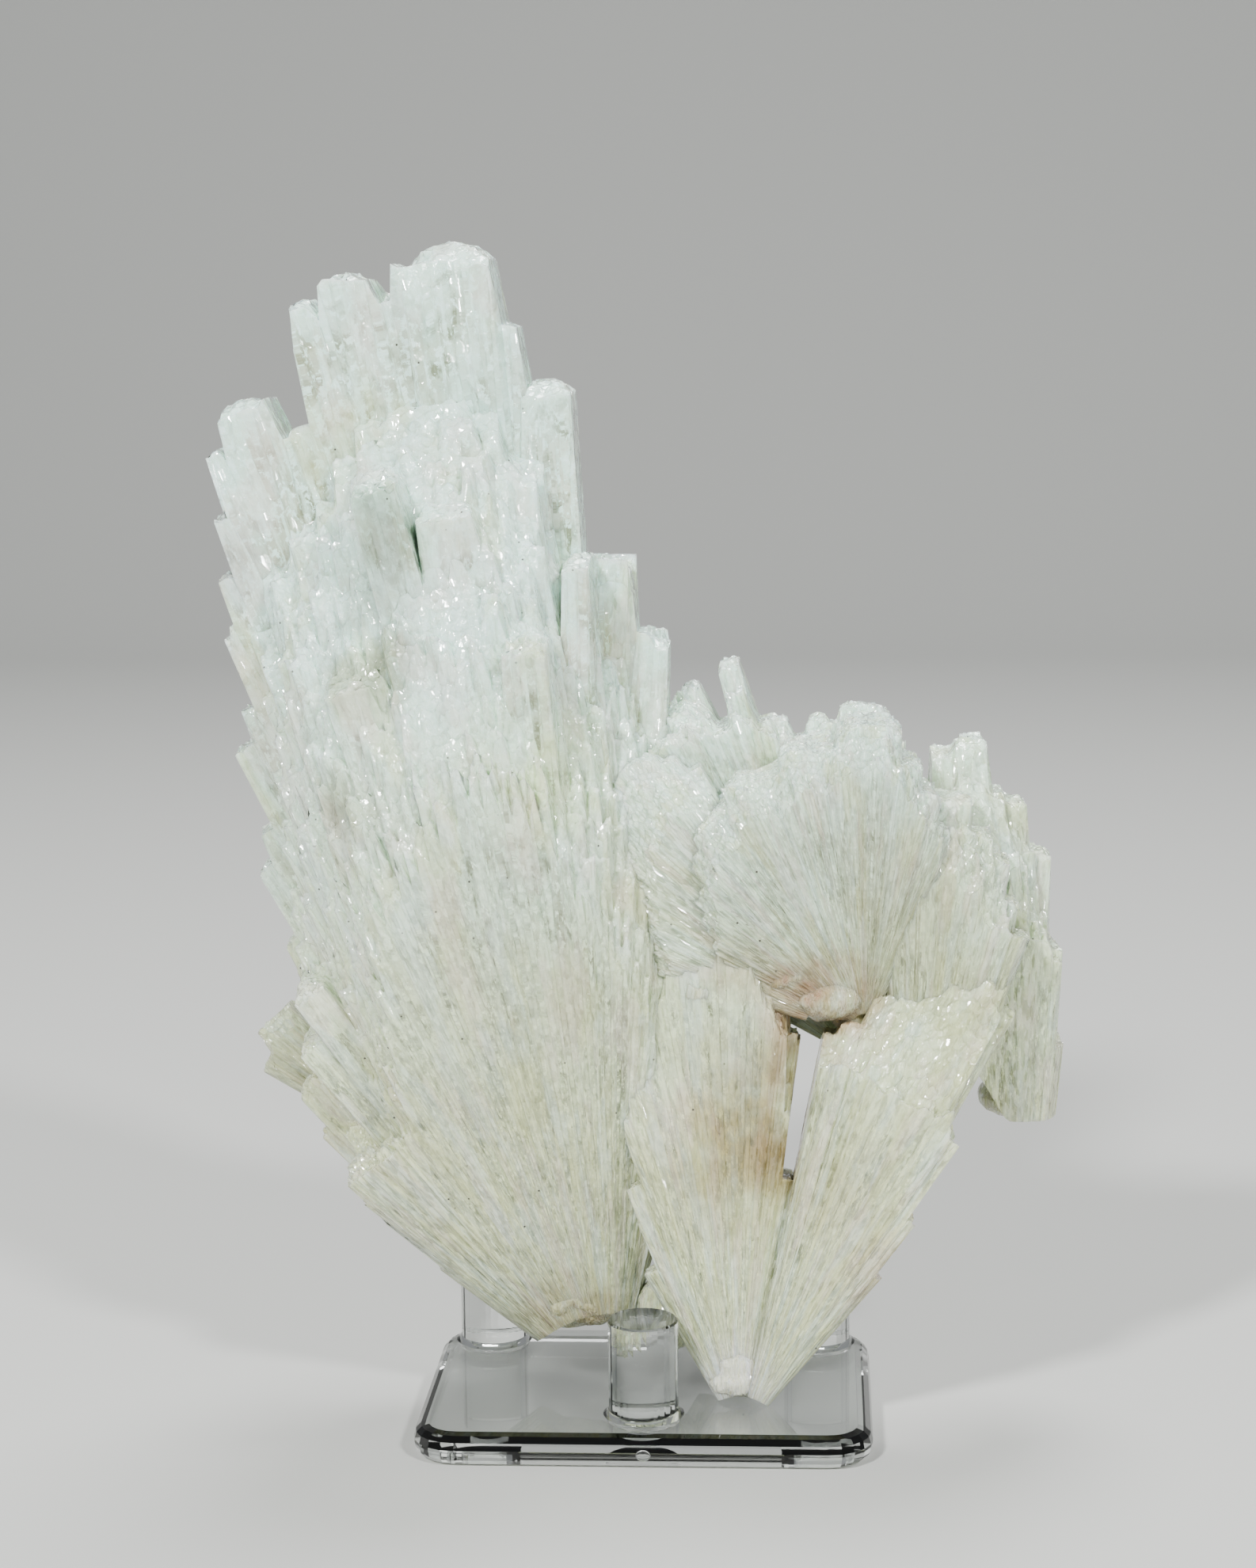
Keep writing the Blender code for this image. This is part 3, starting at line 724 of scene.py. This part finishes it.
def addGateMark(stand):
    # the nub where the plastic entered the mould, on the middle of the plate's front edge
    bm = bmesh.new()
    size = Matrix.Diagonal((*stand["gateSize"], 1.0))
    place = Matrix.Scale(mm, 4) @ Matrix.Translation(stand["gate"]) @ size
    bmesh.ops.create_icosphere(bm, subdivisions=stand["subdivisions"], radius=1.0, matrix=place)
    piece = newPiece("gate_mark", bm, acrylic, stand["gateSharp"])
    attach(piece, "root")


def addCement(name, center, stand):
    # the bead of clear cement that creeps out around a peg's foot
    inner, top = stand["pegRadius"] + stand["gap"], stand["plateTop"] + stand["gap"]
    bead, (kneeOut, kneeUp) = stand["bead"], stand["beadKnee"]
    profile = [(inner, 0.0), (inner + bead, 0.0), (inner + bead * kneeOut, bead * kneeUp), (inner, bead)]
    bm = bmesh.new()
    verts = [bm.verts.new(((center[0] + x) * mm, center[1] * mm, (top + z) * mm)) for x, z in profile]
    lines = [bm.edges.new(pair) for pair in zip(verts, verts[1:] + verts[:1])]
    bmesh.ops.spin(
        bm, geom=lines, cent=(center[0] * mm, center[1] * mm, 0), axis=(0, 0, 1), angle=math.radians(360),
        steps=stand["steps"], use_merge=True,
    )
    bmesh.ops.remove_doubles(bm, verts=bm.verts, dist=0.001 * mm)
    bm.normal_update()
    bmesh.ops.recalc_face_normals(bm, faces=bm.faces)
    piece = newPiece(name, bm, acrylic)
    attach(piece, "root")


# The sheet under and behind the object, in metres
floorSheet = {
    "width": 2.4, "front": -1.6, "back": 0.9, "radius": 0.45, "rise": 1.6, "drop": 0.05 * mm,
    "steps": 24, "color": "#b4b5b2", "roughness": 0.8,
}


def makeFloor():
    # a pale sheet that rises in a soft curve behind the object
    width, front, back = floorSheet["width"], floorSheet["front"], floorSheet["back"]
    bm = bmesh.new()
    edge = [bm.verts.new((x, front, -floorSheet["drop"])) for x in (-width / 2, width / 2)]
    line = bm.edges.new(edge)
    made = bmesh.ops.extrude_edge_only(bm, edges=[line])["geom"]
    verts = [item for item in made if isinstance(item, bmesh.types.BMVert)]
    bmesh.ops.translate(bm, vec=(0, back - front, 0), verts=verts)
    lines = [item for item in made if isinstance(item, bmesh.types.BMEdge)]
    far = [line for line in lines if all(abs(v.co.y - back) < mm for v in line.verts)]
    turned = bmesh.ops.spin(
        bm, geom=far, cent=(0, back, floorSheet["radius"]), axis=(1, 0, 0), angle=math.radians(90),
        steps=floorSheet["steps"],
    )["geom_last"]
    made = bmesh.ops.extrude_edge_only(bm, edges=[i for i in turned if isinstance(i, bmesh.types.BMEdge)])
    verts = [item for item in made["geom"] if isinstance(item, bmesh.types.BMVert)]
    bmesh.ops.translate(bm, vec=(0, 0, floorSheet["rise"]), verts=verts)
    bmesh.ops.recalc_face_normals(bm, faces=bm.faces)
    material = bpy.data.materials.new("matt paper")
    material.use_nodes = True
    shader = material.node_tree.nodes["Principled BSDF"]
    shader.inputs["Base Color"].default_value = linear(floorSheet["color"])
    shader.inputs["Roughness"].default_value = floorSheet["roughness"]
    newPiece("floor", bm, material)


# Each light: place in metres, width of its disk, power
studio = {
    "target": (0.0, 0.0, 0.08), "worldColor": "#e8ecee", "worldStrength": 0.32,
    "lights": {
        "key": ((-0.42, -0.75, 0.78), 0.14, 18.4),
        "second": ((0.52, -0.68, 0.72), 0.14, 12.0),
        "top": ((0.05, 0.30, 0.95), 0.4, 10.0),
    },
}


def addLight(name, place, target, size, power):
    lamp = bpy.data.lights.new(name, "AREA")
    lamp.shape = "DISK"
    lamp.size = size
    lamp.energy = power
    light = bpy.data.objects.new(name, lamp)
    light.location = place
    light.rotation_euler = (Vector(target) - Vector(place)).to_track_quat("-Z", "Y").to_euler()
    bpy.context.scene.collection.objects.link(light)


def makeStudio():
    for name, (place, size, power) in studio["lights"].items():
        addLight(name, place, studio["target"], size, power)
    world = bpy.data.worlds.new("studio")
    bpy.context.scene.world = world
    world.use_nodes = True
    background = world.node_tree.nodes["Background"]
    background.inputs["Color"].default_value = linear(studio["worldColor"])
    background.inputs["Strength"].default_value = studio["worldStrength"]


# Metres, millimetres of lens and degrees, from a camera fitted to the edges of the pegs and the plate
photoView = {
    "place": (0.023491, -0.402504, 0.152636), "lens": 69.55, "sensor": 36.0, "clipStart": 0.01,
    "yaw": 3.604, "pitch": 9.052, "roll": -0.719,
}


def makeCamera():
    camera = bpy.data.objects.new("camera", bpy.data.cameras.new("camera"))
    camera.data.lens = photoView["lens"]
    camera.data.sensor_width = photoView["sensor"]
    camera.data.clip_start = photoView["clipStart"]
    camera.matrix_world = (
        Matrix.Translation(photoView["place"])
        @ Matrix.Rotation(math.radians(photoView["yaw"]), 4, "Z")
        @ Matrix.Rotation(math.radians(90 - photoView["pitch"]), 4, "X")
        @ Matrix.Rotation(math.radians(photoView["roll"]), 4, "Z")
    )
    bpy.context.scene.collection.objects.link(camera)
    bpy.context.scene.camera = camera


makeCamera()
makeFloor()
makeStudio()
scolecite = scoleciteMaterial()
acrylic = acrylicMaterial()
for name, spray in {
    "main_spray": mainSpray, "upper_spray": upperSpray, "upper_front_spray": upperFrontSpray,
    "right_spray": rightSpray, "middle_spray": middleSpray, "outer_spray": outerSpray,
    "back_spray": backSpray, "side_spray": sideSpray, "link_spray": linkSpray,
    "cover_spray": coverSpray,
}.items():
    growSpray(name, spray, scolecite)
for name, masses in feet.items():
    addFoot(name, masses, scolecite)
for name in ("stand_base", "peg_front", "peg_back_left", "peg_back_right"):
    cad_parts[name].data.materials.clear()
    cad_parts[name].data.materials.append(acrylic)
for name, center in standDetails["pegs"].items():
    addCement("cement_" + name, center, standDetails)
addGateMark(standDetails)
print("stand dressed")
